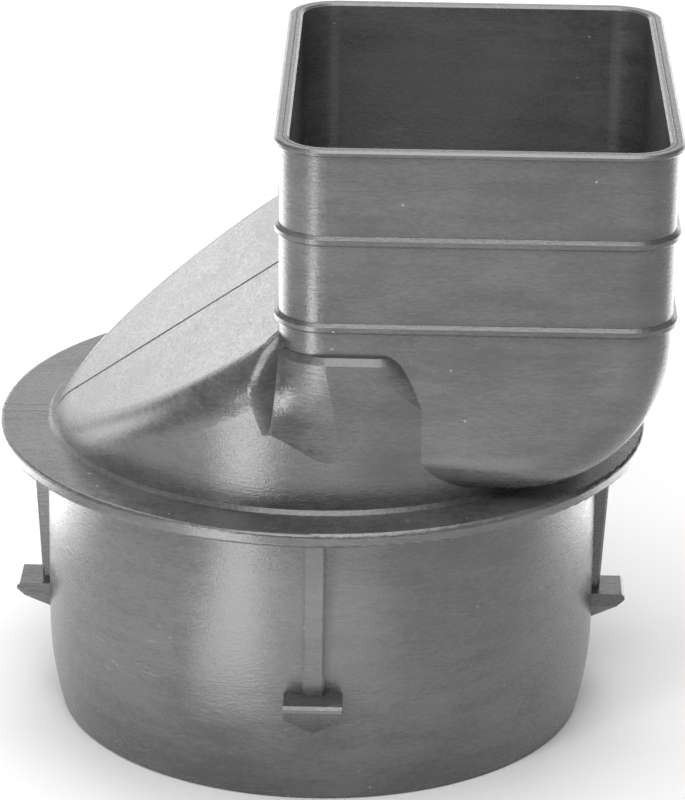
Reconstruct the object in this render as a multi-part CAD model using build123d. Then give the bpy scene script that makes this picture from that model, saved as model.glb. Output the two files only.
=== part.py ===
import os
from math import cos, radians, sin, sqrt

from build123d import *

# Downspout adapter: a round spigot for a corrugated drain pipe, a flange,
# a sloped hood and an offset rectangular socket, moulded in one piece.
# The origin is on the spigot's axis in the plane of its lower end.
# Z points up, X points from the spigot's axis towards the offset socket,
# and the mould's parting plane is y = 0. All sizes are in millimetres.

# Round spigot that goes into the drain pipe
spigot_radius = 50.0
lead_in_depth = 2.2
lead_in_height = 16.0
spigot_length = 52.2
spigot_wall = 1.8
end_edge = 0.4

# Flange that stops at the end of the drain pipe
flange_radius = 58.5
flange_thickness = 2.5
flange_edge = 0.7
flange_top = spigot_length + flange_thickness

# Barbs that catch the pipe's corrugation, each with a stiffening rib above
barb_count = 4
barb_reach = 5.9
barb_front_width = 10.2
barb_side_width = 8.8
barb_top = 21.4
barb_lip = 1.1
barb_front_foot = 13.8
barb_side_foot = 15.0
barb_rise = 4.0
barb_edge = 0.5
rib_width = 3.8
rib_top_depth = 3.0
rib_low_depth = 1.3
rib_edge = 0.4

# Neck and hood over the flange
neck_radius = 49.2
neck_height = 7.2
hood_wall = 1.8
foot_ring = 0.7
slope_angle = 34.2
slope_start = 0.8
slope_rounding = 8.0
notch_start = -8.4
notch_rise = 15.2
notch_turn = 38.0
notch_lean = 15.7
notch_rounding = 2.6

# Faceted shoulder that carries the hood round the socket's lower corners
shoulder_height = 20.4
shoulder_side = 1.0
shoulder_front = 1.5
shoulder_right = 14.5
shoulder_right_corner = 4.5
shoulder_bevel = 1.1
facet_left_end = -20.0
facet_slant = 0.187
facet_base_reach = 2.5
facet_top_depth = 5.0
facet_hollow = 0.6
facet_bulge = 0.9
facet_turn = 5.8
facet_right_turn = 7.3
facet_proud = 0.3
shoulder_swell = 1.7

# Rectangular socket that takes the downspout, with its elbow
socket_offset = 26.7
socket_half_width = 33.6
socket_half_depth = 46.4
socket_corner = 8.2
socket_wall = 1.6
socket_top = 119.0
elbow_radius = 27.3
elbow_gap = 1.4
elbow_narrowing = 0.55

# Rim lip and the two beads round the socket
lip_reach = 0.95
lip_height = 1.2
lip_edge = 0.35
mouth_edge = 0.4
bead_reach = 0.8
bead_height = 1.9
bead_edge = 0.55
upper_bead_drop = 17.0
lower_bead_drop = 32.5

# Places that follow from the sizes above
socket_left = socket_offset - socket_half_width
socket_right = socket_offset + socket_half_width
shoulder_base = flange_top + neck_height
cut_room = 2.0


def spigot_shape(inset, low, high):
    """Solid inside the spigot's wall face, drawn in by an arc at its lower end."""
    full = spigot_radius - inset
    end = full - lead_in_depth
    arc_radius = (lead_in_depth**2 + lead_in_height**2) / (2 * lead_in_depth)
    middle_height = lead_in_height / 2
    middle = full - arc_radius + sqrt(arc_radius**2 - middle_height**2)
    outline = Polyline(
        (end, 0), (end, -2 * cut_room), (0, -2 * cut_room), (0, high), (full, high),
        (full, lead_in_height),
    ) + ThreePointArc((full, lead_in_height), (middle, middle_height), (end, 0))
    solid = revolve(make_face(Plane.XZ * outline), Axis.Z)
    return solid & block_above(low, (Align.CENTER, Align.CENTER))


def block_above(height, side_align):
    """Large block that stands on one height, placed by its X and Y sides."""
    return Pos(0, 0, height) * Box(
        6 * neck_radius,
        3 * neck_radius,
        4 * socket_top,
        align=(*side_align, Align.MIN),
    )


def notch_shape(inset):
    """Leaning block that cuts the hood back beside the front corner of the socket."""
    start_y = -sqrt(neck_radius**2 - notch_start**2)
    wall = Pos(notch_start, start_y, flange_top + notch_rise) * Rot(0, 0, notch_turn)
    block = wall * Rot(-notch_lean, 0, 0) * Pos(0, inset, 0) * Box(
        6 * neck_radius,
        3 * neck_radius,
        8 * neck_radius,
        align=(Align.CENTER, Align.MAX, Align.CENTER),
    )
    return block & block_above(shoulder_base, (Align.CENTER, Align.CENTER))


def sloped_round(inset, low):
    """Upright round body cut off by the slope, with its long rounded edge."""
    slope_z = flange_top + slope_start
    tall = Pos(0, 0, low) * Cylinder(
        neck_radius - inset,
        3 * neck_radius,
        align=(Align.CENTER, Align.CENTER, Align.MIN),
    )
    top_plane = Pos(-neck_radius, 0, slope_z) * Rot(0, -slope_angle, 0)
    above = top_plane * Pos(0, 0, -inset) * Box(
        12 * neck_radius,
        4 * neck_radius,
        8 * neck_radius,
        align=(Align.CENTER, Align.CENTER, Align.MIN),
    )
    body = tall - above
    top_face = body.faces().filter_by(GeomType.PLANE).sort_by(Axis.Z)[-1]
    return fillet(top_face.edges(), slope_rounding - inset)


def hood_shape(inset, low):
    """Neck, the hood left of the socket, and the shoulder that carries it round."""
    hood = sloped_round(inset, low)
    reach = socket_left + socket_corner / 2
    hood = hood - Pos(reach, 0, 0) * block_above(shoulder_base, (Align.MIN, Align.CENTER))
    notch = notch_shape(inset)
    wall_slope = sin(radians(notch_lean))
    hood = hood - notch - mirror(notch, about=Plane.XZ)
    walls = [
        face
        for face in hood.faces().filter_by(GeomType.PLANE)
        if face.normal_at().X > 0.5 and abs(face.normal_at().Z - wall_slope) < 0.01
    ]
    flank_edges = [
        edge
        for wall in walls
        for edge in wall.edges()
        if edge.geom_type != GeomType.LINE and abs(edge.center().Y) > socket_half_depth / 2
    ]
    hood = fillet(flank_edges, notch_rounding - inset)
    return hood + shoulder_shape(inset)


def round_place(radius, turn):
    """Place at a radius, turned from the front about the spigot's axis."""
    return Vector(radius * sin(radians(turn)), -radius * cos(radians(turn)))


def closed_outline(front_edges, height):
    """Outline from edges that run from the left to the right of the front, mirrored behind."""
    behind = [mirror(edge, about=Plane.XZ).edge() for edge in front_edges]
    left = Line(front_edges[0] @ 0, behind[0] @ 0)
    right = Line(front_edges[-1] @ 1, behind[-1] @ 1)
    ordered = [*front_edges, right, *reversed(behind), left]
    return Pos(0, 0, height) * Wire(ordered)


def shoulder_base_outline(inset, height):
    """Outline that the shoulder's facets run down to, partly outside the neck."""
    left = socket_left - shoulder_side + inset
    turn_y = -(neck_radius + facet_base_reach - inset)
    left_end = Vector(facet_left_end, turn_y + facet_slant * (left - facet_left_end))
    turn_point = Vector(left, turn_y)
    edge_start = round_place(neck_radius + facet_proud - inset, facet_turn)
    edge_end = round_place(neck_radius + facet_proud - inset, facet_right_turn)
    hollow = (turn_point + edge_start) / 2 + Vector(0, facet_hollow)
    right_end = round_place(neck_radius - inset, 88)
    swell = round_place(neck_radius + shoulder_swell - inset, (facet_right_turn + 88) / 2)
    return closed_outline([
        Line(left_end, turn_point),
        ThreePointArc(turn_point, hollow, edge_start),
        Line(edge_start, edge_end),
        ThreePointArc(edge_end, swell, right_end),
    ], height)


def shoulder_top_outline(inset, height):
    """Outline round the socket's lower corners, carried left into the hood."""
    left = socket_left - shoulder_side + inset
    right = shoulder_right - inset
    front = -(socket_half_depth + shoulder_front - inset)
    small = shoulder_right_corner - inset
    half_turn = sqrt(0.5)
    big = socket_corner + shoulder_side - inset
    turn_y = front + facet_top_depth
    turn_x = left + big - sqrt(big**2 - (big - facet_top_depth)**2)
    left_end = Vector(facet_left_end, turn_y + facet_slant * (turn_x - facet_left_end))
    turn_point = Vector(turn_x, turn_y)
    crease_end = Vector(left + big, front)
    along = crease_end - turn_point
    outward = Vector(along.Y, -along.X).normalized()
    middle = (turn_point + crease_end) / 2 + outward * facet_bulge
    return closed_outline([
        Line(left_end, turn_point),
        ThreePointArc(turn_point, middle, crease_end),
        Line(crease_end, (right - small, front)),
        ThreePointArc(
            (right - small, front),
            (right - small + half_turn * small, front + small - half_turn * small),
            (right, front + small),
        ),
    ], height)


def shoulder_shape(inset):
    """Facets from the round neck to the socket's corners, with a bevelled top edge."""
    top = shoulder_base + shoulder_height - inset
    outlines = [
        shoulder_base_outline(inset, shoulder_base),
        shoulder_top_outline(inset, top - shoulder_bevel),
        shoulder_top_outline(inset + shoulder_bevel, top),
    ]
    return Solid.make_loft(outlines, ruled=True) & sloped_round(inset, shoulder_base)


def socket_outline(inset, narrowing=0.0):
    """Rounded rectangle of the socket, seen from above."""
    return Pos(socket_offset, 0) * RectangleRounded(
        2 * (socket_half_width - inset),
        2 * (socket_half_depth - narrowing - inset),
        socket_corner - inset,
    )


def socket_shape(inset, floor_inset, top):
    """Socket, and the elbow that turns in under it, narrower from the lower bead down."""
    floor = flange_top + elbow_gap + floor_inset
    bend = elbow_radius - floor_inset
    right = socket_right - inset
    half = socket_half_depth - elbow_narrowing - inset
    corner = socket_corner - inset
    bend_x = right - bend
    bend_z = floor + bend
    narrow_top = socket_top - lower_bead_drop + bead_height / 2
    upright = Pos(0, 0, narrow_top) * extrude(socket_outline(inset), top - narrow_top)
    narrow = socket_outline(inset, elbow_narrowing)
    upright = upright + Pos(0, 0, bend_z) * extrude(narrow, narrow_top - bend_z)
    low_z = floor + corner
    low_part = Pos(0, 0, low_z) * extrude(narrow, bend_z - low_z)
    low_part = low_part & Pos(bend_x, 0, 0) * Box(
        4 * neck_radius,
        4 * neck_radius,
        4 * socket_top,
        align=(Align.MAX, Align.CENTER, Align.CENTER),
    )
    # Half of the duct's section, drawn as width over reach from the bend's axis
    section = make_face(Plane.XY * Polyline(
        (0, -half), (bend, -half), (bend, half), (0, half), close=True
    ))
    outer_corners = section.vertices().sort_by(Axis.X)[-2:]
    section = fillet(outer_corners, corner)
    turned_part = Pos(bend_x, 0, bend_z) * revolve(
        section, Axis((0, 0, 0), (0, 1, 0)), 90
    )
    start_x = socket_left + socket_corner
    across = Pos(start_x, 0, bend_z) * Rot(0, 90, 0) * extrude(section, bend_x - start_x)
    return upright + low_part + across + turned_part


def mouth_shape():
    """Opening at the rim, with its inner edge broken."""
    low = Pos(0, 0, socket_top - mouth_edge) * socket_outline(socket_wall)
    high = Pos(0, 0, socket_top) * socket_outline(socket_wall - mouth_edge)
    return loft([low, high], ruled=True)


def band(reach, low, height, edge):
    """Raised band round the socket, with softened edges."""
    block = Pos(0, 0, low) * extrude(socket_outline(-reach), height)
    rims = block.edges().group_by(Axis.Z)
    return chamfer(rims[0] + rims[-1], edge, edge * 1.3)


def barb_shape(width, foot):
    """One barb and its rib, on the +X side of the spigot."""
    root = spigot_radius - spigot_wall / 2
    tip = spigot_radius + barb_reach
    lip_low = barb_top - barb_lip
    ramp = (lip_low - foot) / barb_reach
    side = make_face(Plane.XZ * Polyline(
        (root, barb_top),
        (tip - barb_edge, barb_top),
        (tip, barb_top - barb_edge),
        (tip, lip_low),
        (root, lip_low - ramp * (tip - root)),
        close=True,
    ))
    side_block = extrude(side, width, both=True)
    half = width / 2
    front = make_face(Plane.YZ * Polyline(
        (-half, foot + barb_rise),
        (-half, barb_top),
        (half, barb_top),
        (half, foot + barb_rise),
        (0, foot),
        close=True,
    ))
    barb = side_block & extrude(front, 2 * spigot_radius, both=True)
    rib_high = flange_top - flange_thickness / 2
    rib = make_face(Plane.XZ * Polyline(
        (root, barb_top - barb_lip),
        (spigot_radius + rib_low_depth, barb_top - barb_lip),
        (spigot_radius + rib_low_depth, barb_top),
        (spigot_radius + rib_top_depth, spigot_length),
        (spigot_radius + rib_top_depth, rib_high),
        (root, rib_high),
        close=True,
    ))
    rib = extrude(rib, rib_width / 2, both=True)
    outer = rib.edges().filter_by(lambda edge: edge.center().X > spigot_radius + rib_low_depth / 2)
    outer = outer.filter_by(lambda edge: abs(edge.center().Y) > rib_width / 4)
    rib = chamfer(outer, rib_edge)
    return barb + rib


# Outside of the moulding
flange_outline = make_face(Plane.XZ * Polyline(
    (0, spigot_length),
    (flange_radius, spigot_length),
    (flange_radius, flange_top),
    (neck_radius + foot_ring, flange_top),
    (neck_radius, flange_top + foot_ring),
    (0, flange_top + foot_ring),
    close=True,
))
flange_rims = flange_outline.vertices().sort_by(Axis.X)[-2:]
flange = revolve(fillet(flange_rims, flange_edge), Axis.Z)
outside = spigot_shape(0, 0, spigot_length + flange_thickness / 2)
outside = chamfer(outside.edges().sort_by(Axis.Z)[0], end_edge)
outside = outside + flange
outside = outside + hood_shape(0, spigot_length)
outside = outside + socket_shape(0, 0, socket_top)

# Water's way through it, one wall inside
step_z = spigot_length - hood_wall
passage = spigot_shape(spigot_wall, -cut_room, step_z)
passage = passage + hood_shape(hood_wall, step_z - cut_room)
passage = passage + socket_shape(socket_wall, hood_wall, socket_top)
passage = passage + mouth_shape()

# Bands on the socket, and barbs on the spigot
bands = [
    band(lip_reach, socket_top - lip_height, lip_height, lip_edge),
    band(bead_reach, socket_top - upper_bead_drop, bead_height, bead_edge),
    band(bead_reach, socket_top - lower_bead_drop, bead_height, bead_edge),
]
barb_kinds = [(barb_side_width, barb_side_foot), (barb_front_width, barb_front_foot)]
barbs = [
    Rot(0, 0, 360 * index / barb_count) * barb_shape(*barb_kinds[index % 2])
    for index in range(barb_count)
]

adapter = outside
for raised in bands + barbs:
    adapter = adapter + raised
adapter = adapter - passage

solids = adapter.solids()
print("solids", len(solids), "valid", all(s.is_valid for s in solids))
print("volume", [round(s.volume, 1) for s in solids])
box = adapter.bounding_box()
print("box", [round(v, 2) for v in (*box.min, *box.max)])

# One moulded piece, one file
body = solids.sort_by(SortBy.VOLUME)[-1]
os.makedirs("parts", exist_ok=True)
export_step(body, "parts/adapter_body.step")
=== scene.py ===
from math import cos, pi, radians, sin, tan

import bpy
import numpy as np
from mathutils import Matrix, Vector


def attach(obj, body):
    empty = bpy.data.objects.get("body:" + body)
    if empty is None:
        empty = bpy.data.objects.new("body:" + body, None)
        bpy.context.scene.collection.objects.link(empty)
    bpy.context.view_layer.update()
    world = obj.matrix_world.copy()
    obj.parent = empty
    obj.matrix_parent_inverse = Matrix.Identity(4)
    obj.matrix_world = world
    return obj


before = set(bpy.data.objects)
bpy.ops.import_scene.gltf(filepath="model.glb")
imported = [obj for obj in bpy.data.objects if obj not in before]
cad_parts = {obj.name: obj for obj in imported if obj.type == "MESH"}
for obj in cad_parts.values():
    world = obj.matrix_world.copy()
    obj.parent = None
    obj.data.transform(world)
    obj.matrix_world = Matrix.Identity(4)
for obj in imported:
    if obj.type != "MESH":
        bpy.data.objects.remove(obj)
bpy.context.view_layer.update()  # the moulding, in metres, at the origin
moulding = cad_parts["adapter_body"]


# Shader maths: a wrapped socket, so that an expression on values adds Math nodes
class Wire:
    def __init__(self, board, socket):
        self.board = board
        self.socket = socket

    def __add__(self, other):
        return self.board.maths("ADD", self, other)

    __radd__ = __add__

    def __mul__(self, other):
        return self.board.maths("MULTIPLY", self, other)

    __rmul__ = __mul__

    def __sub__(self, other):
        return self.board.maths("SUBTRACT", self, other)

    def __rsub__(self, other):
        return self.board.maths("SUBTRACT", other, self)

# One node tree, and the one method that adds any node to it
class Board:
    def __init__(self, owner):
        owner.use_nodes = True
        self.tree = owner.node_tree
        self.tree.nodes.clear()

    def node(self, kind, settings=None, sockets=None, output=0):
        made = self.tree.nodes.new(kind)
        for name, value in (settings or {}).items():
            if name == "stops":
                self.setStops(made.color_ramp, value)
            else:
                setattr(made, name, value)
        for name, value in (sockets or {}).items():
            if isinstance(value, Wire):
                self.tree.links.new(value.socket, made.inputs[name])
            else:
                made.inputs[name].default_value = value
        return Wire(self, made.outputs[output]) if len(made.outputs) else made

    def setStops(self, ramp, stops):
        while len(ramp.elements) < len(stops):
            ramp.elements.new(1.0)
        for element, (place, level) in zip(ramp.elements, stops):
            element.position = place
            element.color = (level, level, level, 1.0)

    def maths(self, operation, first, second=0.0):
        return self.node("ShaderNodeMath", {"operation": operation}, {0: first, 1: second})

    def vectors(self, operation, first, second=(0.0, 0.0, 0.0), output=0):
        return self.node("ShaderNodeVectorMath", {"operation": operation}, {0: first, 1: second}, output)


# Satin polyethylene, dark grey: its colours and roughness, and how far each layer changes them
skin = {
    "dark": (0.040, 0.042, 0.041, 1.0),
    "pale": (0.082, 0.085, 0.083, 1.0),
    "specular": 1.0,
    "roughLow": 0.22,
    "roughHigh": 0.32,
    "roughFine": 0.16,
    "cloudInTone": 0.55,
    "cloudInSheen": 0.5,
    "toneStops": [(0.36, 0.0), (0.64, 1.0)],
    "sheenStops": [(0.30, 0.0), (0.68, 1.0)],
    "grainInTone": 0.5,
    "brushInTone": 1.2,
}

# Noises on the object's own coordinates: cells per metre, octaves, and one stretch per axis
noises = {
    "cloud": {"scale": 42.0, "detail": 4.0, "stretch": (1.0, 1.0, 1.0)},
    "flow": {"scale": 70.0, "detail": 3.0, "stretch": (1.0, 1.0, 5.0)},
    "grain": {"scale": 2600.0, "detail": 2.0, "stretch": (1.0, 1.0, 1.0)},
    "ripple": {"scale": 260.0, "detail": 2.0, "stretch": (1.0, 1.0, 1.0)},
    "brush": {"scale": 2400.0, "detail": 2.0, "stretch": (0.25, 0.25, 1.0)},
    "scratch": {"scale": 34.0, "detail": 1.0, "stretch": (1.0, 1.0, 26.0)},
}
noiseRoughness = 0.55
noiseMiddle = 0.5

# Two bumps, the fine one over the ripple: depths in metres, and the other layers' heights beside the grain's
relief = {
    "rippleDepth": 0.00009,
    "rippleStrength": 0.35,
    "grainDepth": 0.00008,
    "grainStrength": 0.5,
    "brush": 0.8,
    "scratch": 0.5,
    "shadedGroove": 3.0,
}


def speckled(board, place, name):
    noise = noises[name]
    drawn = board.vectors("MULTIPLY", place, noise["stretch"])
    return board.node("ShaderNodeTexNoise", None, {
        "Vector": drawn,
        "Scale": noise["scale"],
        "Detail": noise["detail"],
        "Roughness": noiseRoughness,
    })


def steps(board, value, stops):
    return board.node("ShaderNodeValToRGB", {"stops": stops}, {"Fac": value})


def blended(board, share, first, second):
    return board.node("ShaderNodeMix", {"data_type": "RGBA"}, {0: share, 6: first, 7: second}, 2)


# Fine scratches: where a strongly stretched noise passes its middle value, in scattered places only
scratches = {"halfWidth": 0.006, "placeStops": [(0.56, 0.0), (0.66, 1.0)], "inColour": 0.30}


def scratchLayer(board, place, cloud):
    lines = speckled(board, place, "scratch")
    low, high = noiseMiddle - scratches["halfWidth"], noiseMiddle + scratches["halfWidth"]
    nearMiddle = steps(board, lines, [(low, 0.0), (noiseMiddle, 1.0), (high, 0.0)])
    return nearMiddle * steps(board, cloud, scratches["placeStops"])


# Dust: small round specks about the middles of scattered cells, with a soft edge
dust = {
    "colour": (0.42, 0.43, 0.42, 1.0),
    "scale": 210.0,
    "radius": 0.050,
    "core": 0.7,
    "placeStops": [(0.47, 0.0), (0.52, 1.0)],
    "inColour": 0.70,
    "inRoughness": 0.3,
}


def dustLayer(board, place, flow):
    cells = board.node("ShaderNodeTexVoronoi", None, {
        "Vector": place,
        "Scale": dust["scale"],
        "Randomness": 1.0,
    })
    speck = steps(board, cells, [(dust["radius"] * dust["core"], 1.0), (dust["radius"], 0.0)])
    return speck * steps(board, flow, dust["placeStops"])


# Fine groove on the rim's flat top, sunk by the bump, with painted shade in its near-black colour: the
# socket's middle, the straight half lengths inside the corners, the line's own corner and the height above
# which it is drawn, in metres; its half width in millimetres
shadedGroove = {
    "middle": (0.0267, 0.0, 0.119),
    "straight": (0.0254, 0.0382, 1.0),
    "corner": 0.0077,
    "above": 0.11885,
    "halfWidth": 0.20,
    "core": 0.5,
    # near-black colour: painted shade in the groove
    "colour": (0.012, 0.012, 0.012, 1.0),
    "inColour": 0.8,
    "inRoughness": 0.3,
}


# The line lies at one even distance from a smaller rectangle inside the rim's rounded one; its mask sinks
# the bump and paints the groove's shade
def shadedGrooveLayer(board, place):
    folded = board.vectors("ABSOLUTE", board.vectors("SUBTRACT", place, shadedGroove["middle"]))
    outside = board.vectors("MAXIMUM", board.vectors("SUBTRACT", folded, shadedGroove["straight"]))
    flat = board.vectors("MULTIPLY", outside, (1.0, 1.0, 0.0))
    reach = board.vectors("LENGTH", flat, output="Value")
    offLine = board.maths("ABSOLUTE", reach - shadedGroove["corner"]) * 1000.0
    core = shadedGroove["halfWidth"] * shadedGroove["core"]
    onLine = steps(board, offLine, [(core, 1.0), (shadedGroove["halfWidth"], 0.0)])
    height = board.node("ShaderNodeSeparateXYZ", None, {"Vector": place}, "Z")
    return onLine * board.maths("GREATER_THAN", height, shadedGroove["above"])


def makeSkin():
    material = bpy.data.materials.new("satinPolyethylene")
    board = Board(material)
    place = board.node("ShaderNodeTexCoord", None, None, "Object")
    cloud = speckled(board, place, "cloud")
    flow = speckled(board, place, "flow")
    grain = speckled(board, place, "grain")
    ripple = speckled(board, place, "ripple")
    brush = speckled(board, place, "brush")
    scratch = scratchLayer(board, place, cloud)
    dusty = dustLayer(board, place, flow)
    shadedGrooveLine = shadedGrooveLayer(board, place)

    mixed = cloud * skin["cloudInTone"] + flow * (1.0 - skin["cloudInTone"])
    tone = steps(board, mixed, skin["toneStops"])
    fine = (grain - noiseMiddle) * skin["grainInTone"] + (brush - noiseMiddle) * skin["brushInTone"]
    mottled = blended(board, tone + fine, skin["dark"], skin["pale"])
    scuffed = blended(board, scratch * scratches["inColour"], mottled, dust["colour"])
    dusted = blended(board, dusty * dust["inColour"], scuffed, dust["colour"])
    # the groove line is painted near black, as painted shade in the groove, over its bump
    coloured = blended(board, shadedGrooveLine * shadedGroove["inColour"], dusted, shadedGroove["colour"])

    polish = flow * (1.0 - skin["cloudInSheen"]) + cloud * skin["cloudInSheen"]
    sheen = steps(board, polish, skin["sheenStops"])
    satin = sheen * (skin["roughHigh"] - skin["roughLow"]) + skin["roughLow"] + fine * skin["roughFine"]
    rough = satin + dusty * dust["inRoughness"] + shadedGrooveLine * shadedGroove["inRoughness"]

    waved = board.node("ShaderNodeBump", None, {
        "Height": ripple,
        "Strength": relief["rippleStrength"],
        "Distance": relief["rippleDepth"],
    })
    raised = grain + brush * relief["brush"] + scratch * relief["scratch"] - shadedGrooveLine * relief["shadedGroove"]
    grained = board.node("ShaderNodeBump", None, {
        "Height": raised,
        "Strength": relief["grainStrength"],
        "Distance": relief["grainDepth"],
        "Normal": waved,
    })
    shader = board.node("ShaderNodeBsdfPrincipled", None, {
        "Base Color": coloured,
        "Roughness": rough,
        "Specular IOR Level": skin["specular"],
        "Normal": grained,
    })
    board.node("ShaderNodeOutputMaterial", None, {"Surface": shader})
    return material


skinMaterial = makeSkin()
moulding.data.materials.clear()
moulding.data.materials.append(skinMaterial)
print("skin applied")

# Moulding marks: fine seams in planes of equal y, in millimetres and degrees like the solid's own sizes;
# the rows are the steps along each stretch
seam = {
    "halfWidth": 0.22,
    "height": 0.13,
    "sunk": 0.06,
    "columns": 9,
    "neckRadius": 49.2,
    "slopeFoot": 55.5,
    "slopeAngle": 34.2,
    "slopeRounding": 8.0,
    "slopeBendRows": 24,
    "slopeRows": 60,
    "flangeTop": 54.7,
    "flangeReach": (-58.2, -50.2),
    "flangeRows": 30,
    "nearLine": -2.0,
    "farLine": 1.2,
    "socketLeft": -6.9,
    "socketRight": 60.3,
    "socketTop": 117.7,
    "elbowRadius": 27.3,
    "elbowFloor": 56.1,
    "elbowStart": -78.0,
    "elbowRows": 60,
    "wallRows": 40,
    "wallGap": 0.5,
}


# A low ridge along a path in a plane of equal y: a parabola across, with its edges sunk in the skin
def ridgeAlong(path, name, aside=0.0):
    steep = np.gradient(path, axis=0)
    steep = steep / np.linalg.norm(steep, axis=1, keepdims=True)
    outward = np.column_stack([-steep[:, 1], steep[:, 0]])
    across = np.linspace(-1.0, 1.0, seam["columns"])
    raised = seam["height"] * (1.0 - across**2) - seam["sunk"] * across**2
    x = path[:, 0:1] + outward[:, 0:1] * raised
    z = path[:, 1:2] + outward[:, 1:2] * raised
    y = np.broadcast_to(aside + across * seam["halfWidth"], x.shape)
    gridPiece(name, np.stack([x, y, z], axis=-1) / 1000.0)


# A mesh from a grid of points in metres, rows by columns by three, which rides on the moulding
def gridPiece(name, points):
    rows, columns = points.shape[:2]
    index = np.arange(rows * columns).reshape(rows, columns)
    quads = np.stack([index[:-1, :-1], index[1:, :-1], index[1:, 1:], index[:-1, 1:]], axis=-1)
    mesh = bpy.data.meshes.new(name)
    mesh.from_pydata(points.reshape(-1, 3).tolist(), [], quads.reshape(-1, 4).tolist())
    mesh.polygons.foreach_set("use_smooth", np.ones(len(mesh.polygons), dtype=bool))
    mesh.materials.append(skinMaterial)
    piece = bpy.data.objects.new(name, mesh)
    bpy.context.scene.collection.objects.link(piece)
    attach(piece, "root")


# Round the bend above the neck as an arc, then straight up the slope to the socket
def makeSlopeSeam():
    angle = radians(seam["slopeAngle"])
    reach = seam["slopeRounding"] * tan((radians(90.0) - angle) / 2)
    foot = np.array([-seam["neckRadius"], seam["slopeFoot"]])
    along = np.array([cos(angle), sin(angle)])
    centre = foot + along * reach + np.array([sin(angle), -cos(angle)]) * seam["slopeRounding"]
    turn = np.linspace(radians(180.0), radians(90.0) + angle, seam["slopeBendRows"])
    bend = centre + seam["slopeRounding"] * np.column_stack([np.cos(turn), np.sin(turn)])
    bend = bend[bend[:, 1] > seam["flangeTop"]]
    top = seam["slopeFoot"] + (seam["socketLeft"] + seam["neckRadius"]) * tan(angle)
    share = np.linspace(0.02, 1.0, seam["slopeRows"])[:, None]  # starts just past the bend's last point
    line = bend[-1] * (1.0 - share) + np.array([seam["socketLeft"], top]) * share
    ridgeAlong(np.concatenate([bend, line]), "slopeSeam")


# Down the socket's far wall, then round the elbow as an arc
def makeElbowSeam():
    radius = seam["elbowRadius"]
    centre = np.array([seam["socketRight"] - radius, seam["elbowFloor"] + radius])
    turn = np.linspace(radians(seam["elbowStart"]), 0.0, seam["elbowRows"])
    bend = centre + radius * np.column_stack([np.cos(turn), np.sin(turn)])
    height = np.linspace(centre[1] + seam["wallGap"], seam["socketTop"], seam["wallRows"])
    wall = np.column_stack([np.full(seam["wallRows"], seam["socketRight"]), height])
    ridgeAlong(np.concatenate([bend, wall])[::-1], "elbowSeam")


# Two faint lines across the flange's top, either side of the parting plane
def makeFlangeSeams():
    reach = np.linspace(*seam["flangeReach"], seam["flangeRows"])
    path = np.column_stack([reach, np.full(seam["flangeRows"], seam["flangeTop"])])
    ridgeAlong(path, "flangeSeamNear", seam["nearLine"])
    ridgeAlong(path, "flangeSeamFar", seam["farLine"])


# Ragged flash left on the mouth's near edge, in millimetres; mean is how many random steps are averaged
flash = {
    "from": -2.5,
    "to": 6.5,
    "y": -44.92,
    "top": 118.70,
    "reach": 0.42,
    "droop": 0.22,
    "rows": 90,
    "across": (-0.25, 0.0, 0.55, 1.0),
    "seed": 5,
    "mean": 5,
    "ragGain": 2.2,
    "ragOffset": 0.6,
    "ragLeast": 0.05,
    "endPower": 0.4,
}


# A thin flap whose free edge wanders: its reach is a half sine, flattened, times smoothed random steps
def makeFlash():
    random = np.random.default_rng(flash["seed"])
    x = np.linspace(flash["from"], flash["to"], flash["rows"])
    share = (x - flash["from"]) / (flash["to"] - flash["from"])
    draws = random.random(flash["rows"] + flash["mean"] - 1)
    ragged = np.convolve(draws, np.ones(flash["mean"]) / flash["mean"], mode="valid")
    wander = np.clip(ragged * flash["ragGain"] - flash["ragOffset"], flash["ragLeast"], 1.0)
    reach = flash["reach"] * np.sin(pi * share) ** flash["endPower"] * wander
    across = np.array(flash["across"])
    y = flash["y"] + reach[:, None] * across
    z = flash["top"] - flash["droop"] * reach[:, None] / flash["reach"] * across**2
    gridPiece("mouthFlash", np.stack([np.broadcast_to(x[:, None], y.shape), y, z], axis=-1) / 1000.0)


makeSlopeSeam()
makeElbowSeam()
makeFlangeSeams()
makeFlash()
print("moulding marks made")

# Plain pale floor, in metres
floorPlan = {
    "halfWidth": 1.5,
    "front": -1.2,
    "back": 3.0,
    "colour": (0.8, 0.8, 0.8, 1.0),
    "roughness": 0.9,
}


def makeFloor():
    half, front, back = floorPlan["halfWidth"], floorPlan["front"], floorPlan["back"]
    mesh = bpy.data.meshes.new("floor")
    corners = [(-half, front, 0.0), (half, front, 0.0), (half, back, 0.0), (-half, back, 0.0)]
    mesh.from_pydata(corners, [], [(0, 1, 2, 3)])
    floor = bpy.data.objects.new("floor", mesh)
    bpy.context.scene.collection.objects.link(floor)
    material = bpy.data.materials.new("paperFloor")
    board = Board(material)
    shader = board.node("ShaderNodeBsdfPrincipled", None, {
        "Base Color": floorPlan["colour"],
        "Roughness": floorPlan["roughness"],
    })
    board.node("ShaderNodeOutputMaterial", None, {"Surface": shader})
    mesh.materials.append(material)


makeFloor()
print("floor laid")

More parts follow.
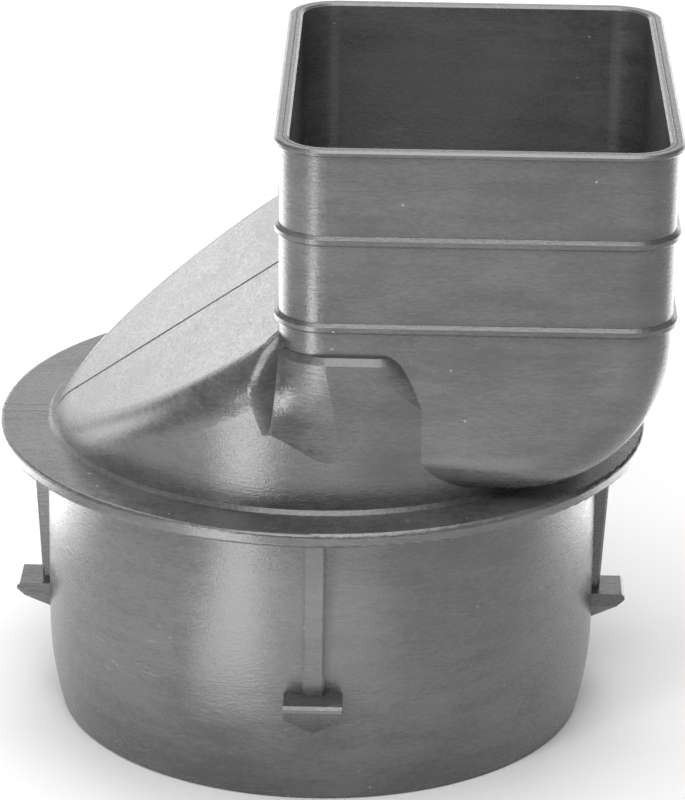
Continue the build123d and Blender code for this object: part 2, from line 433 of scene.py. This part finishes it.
# Soft boxes round the object: azimuth from the front, positive to the right, and elevation, in degrees;
# distance, width and height in metres; level is the brightness of the lit face
lamps = {
    "leftStrip": {"azimuth": -38, "elevation": 15, "distance": 1.2, "size": (0.2, 0.35), "level": 17.0},
    "frontKey": {"azimuth": -8, "elevation": 48, "distance": 1.2, "size": (0.9, 0.45), "level": 5.0},
    "highFront": {"azimuth": 0, "elevation": 62, "distance": 1.2, "size": (0.9, 0.5), "level": 1.35},
    "top": {"azimuth": 0, "elevation": 90, "distance": 1.2, "size": (0.8, 0.8), "level": 4.6},
    "highBack": {"azimuth": 180, "elevation": 45, "distance": 1.2, "size": (1.2, 0.5), "level": 2.3},
    "back": {"azimuth": 180, "elevation": 12, "distance": 1.2, "size": (1.0, 0.4), "level": 1.4},
    "backLeft": {"azimuth": -150, "elevation": 8, "distance": 1.2, "size": (0.6, 0.4), "level": 1.9},
    "backRight": {"azimuth": 150, "elevation": 8, "distance": 1.2, "size": (0.6, 0.4), "level": 2.0},
    "sideLeft": {"azimuth": -115, "elevation": 8, "distance": 1.2, "size": (0.6, 0.4), "level": 3.6},
    "sideRight": {"azimuth": 115, "elevation": 8, "distance": 1.2, "size": (0.6, 0.4), "level": 1.6},
}
lampTarget = Vector((0.0, 0.0, 0.06))

# Lit panels that lie on the floor and face up, as a glossy table top would mirror the boxes
panels = {
    "tableNear": {"azimuth": -27, "distance": 0.145, "size": (0.045, 0.11), "level": 3.6},
    "tableFar": {"azimuth": -28, "distance": 0.30, "size": (0.08, 0.20), "level": 7.0},
    "tableLeft": {"azimuth": -135, "distance": 0.26, "size": (0.25, 0.30), "level": 4.0},
    "tableRight": {"azimuth": 135, "distance": 0.26, "size": (0.25, 0.30), "level": 2.4},
    "tableFront": {"azimuth": 5, "distance": 0.14, "size": (0.07, 0.10), "level": 1.0},
}
panelHeight = 0.001


def addLamp(name, plan, location, rotation):
    light = bpy.data.lights.new(name, "AREA")
    light.shape = "RECTANGLE"
    light.size, light.size_y = plan["size"]
    light.energy = pi * plan["size"][0] * plan["size"][1] * plan["level"]
    lamp = bpy.data.objects.new(name, light)
    lamp.location = location
    lamp.rotation_euler = rotation
    lamp.visible_camera = False
    bpy.context.scene.collection.objects.link(lamp)


def addBox(name, plan):
    turn, rise = radians(plan["azimuth"]), radians(plan["elevation"])
    away = Vector((sin(turn) * cos(rise), -cos(turn) * cos(rise), sin(rise)))
    facing = away.to_track_quat("Z", "Y").to_euler()
    addLamp(name, plan, lampTarget + away * plan["distance"], facing)


def addPanel(name, plan):
    turn, far = radians(plan["azimuth"]), plan["distance"]
    addLamp(name, plan, (sin(turn) * far, -cos(turn) * far, panelHeight), (pi, 0.0, turn))


# Weak fill inside the socket, behind the near rim: it faces the far wall, and lights nothing outside
insideFill = {"place": (0.0235, -0.042, 0.076), "size": (0.045, 0.028), "level": 0.75}

for lampName, lampPlan in lamps.items():
    addBox(lampName, lampPlan)
for panelName, panelPlan in panels.items():
    addPanel(panelName, panelPlan)
addLamp("insideFill", insideFill, insideFill["place"], (pi / 2, 0.0, 0.0))

# World: plain even light, and white behind the object for the camera
worldLevel = 0.3


def makeWorld():
    world = bpy.data.worlds.new("studio")
    board = Board(world)
    seen = board.node("ShaderNodeLightPath")
    strength = seen * (1.0 - worldLevel) + worldLevel
    light = board.node("ShaderNodeBackground", None, {"Strength": strength})
    board.node("ShaderNodeOutputWorld", None, {"Surface": light})
    bpy.context.scene.world = world


makeWorld()
print("studio lit")

# Camera, as fitted to the photograph: angles in degrees, lens and sensor in millimetres
viewFit = {
    "eye": (0.016015, -0.700280, 0.324109),
    "pitch": 20.88,
    "yaw": 1.02,
    "roll": 0.71,
    "lens": 216.71,
    "sensor": 36.0,
}


# The camera's axes are level ones, pitched down, yawed about the vertical and rolled about the view
def makeCamera():
    pitch, yaw, roll = (radians(viewFit[name]) for name in ("pitch", "yaw", "roll"))
    level = np.array([
        [1.0, 0.0, 0.0],
        [0.0, sin(pitch), cos(pitch)],
        [0.0, cos(pitch), -sin(pitch)],
    ])
    turned = np.array([[cos(yaw), sin(yaw), 0.0], [-sin(yaw), cos(yaw), 0.0], [0.0, 0.0, 1.0]])
    rolled = np.array([[cos(roll), sin(roll), 0.0], [-sin(roll), cos(roll), 0.0], [0.0, 0.0, 1.0]])
    right, up, forward = rolled @ level @ turned
    data = bpy.data.cameras.new("photographView")
    data.sensor_fit = "HORIZONTAL"
    data.sensor_width = viewFit["sensor"]
    data.lens = viewFit["lens"]
    camera = bpy.data.objects.new("photographView", data)
    camera.matrix_world = Matrix.Translation(viewFit["eye"]) @ Matrix(
        np.column_stack([right, up, -forward]).tolist()
    ).to_4x4()
    bpy.context.scene.collection.objects.link(camera)
    bpy.context.scene.camera = camera


makeCamera()
bpy.context.scene.view_settings.view_transform = "Standard"
print("camera placed")
